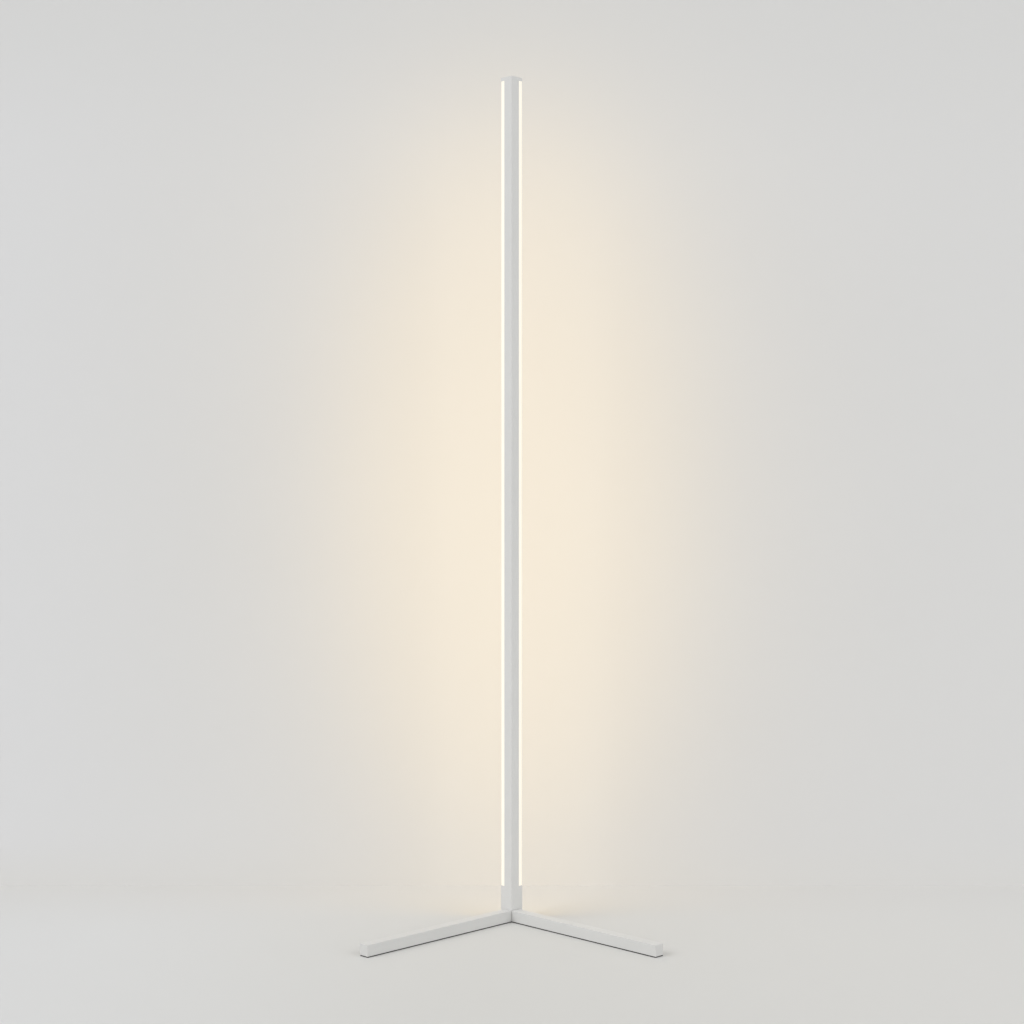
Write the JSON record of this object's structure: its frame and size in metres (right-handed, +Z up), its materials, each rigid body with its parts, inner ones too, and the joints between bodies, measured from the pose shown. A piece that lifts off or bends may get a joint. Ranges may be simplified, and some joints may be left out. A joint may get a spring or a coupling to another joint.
{
  "type": "corner floor lamp",
  "caption": "Slim square-pole floor lamp on two right-angled legs, turned to wash a room corner with light through an opal shell.",
  "frame": {"origin": "on the floor, under the axis of the pole", "axes": "+Z up, -Y out of the corner towards the room, +X to the right seen from the room"},
  "size_m": [0.4662, 0.2562, 1.4],
  "materials": {
    "painted_aluminium": "matt powder coat, light grey",
    "painted_steel": "matt powder coat, light grey",
    "opal": "opal extrusion, satin, lit from inside",
    "pad_rubber": "matt black anti-slip rubber",
    "cast_aluminium": "as cast",
    "screw_steel": "zinc plated",
    "led_board": "white solder mask on aluminium",
    "tape": "heat-conducting tape",
    "led_package": "white reflector",
    "led_phosphor": "yellow phosphor",
    "black_component": "moulded black",
    "contact_metal": "tinned",
    "board_green": "green solder mask",
    "capacitor_can": "plain can",
    "white_plastic": "moulded",
    "button_plastic": "fine texture, colour of the block",
    "lead_red": "insulated wire",
    "lead_black": "insulated wire"
  },
  "bodies": {
    "lamp": {"pole_profile": "painted_aluminium", "top_cap": "painted_aluminium", "base_block": "painted_aluminium", "left_leg": "painted_steel", "right_leg": "painted_steel", "diffuser": "opal", "left_pad": "pad_rubber", "right_pad": "pad_rubber", "joiner": "cast_aluminium", "port_screw": "screw_steel", "joiner_screws": "screw_steel", "leg_screws": "screw_steel", "led_board_lower": "led_board", "led_board_middle": "led_board", "led_board_upper": "led_board", "thermal_tape": "tape", "led_packages": "led_package", "led_phosphors": "led_phosphor", "led_resistors": "black_component", "board_links": "contact_metal", "control_board": "board_green", "controller_chip": "black_component", "power_transistor": "black_component", "smoothing_capacitor": "capacitor_can", "dc_jack": "black_component", "jack_pin": "contact_metal", "jack_contact": "contact_metal", "switch_body": "black_component", "positive_lead": "lead_red", "negative_lead": "lead_black"},
    "button": {"power_button": "button_plastic", "switch_plunger": "white_plastic"}
  },
  "joints": [
    {"name": "button_press", "type": "slide", "parent": "lamp", "child": "button", "axis": [0.7071, -0.7071, 0], "range_m": [0, 0.001], "stiffness_N_per_m": 1500}
  ]
}
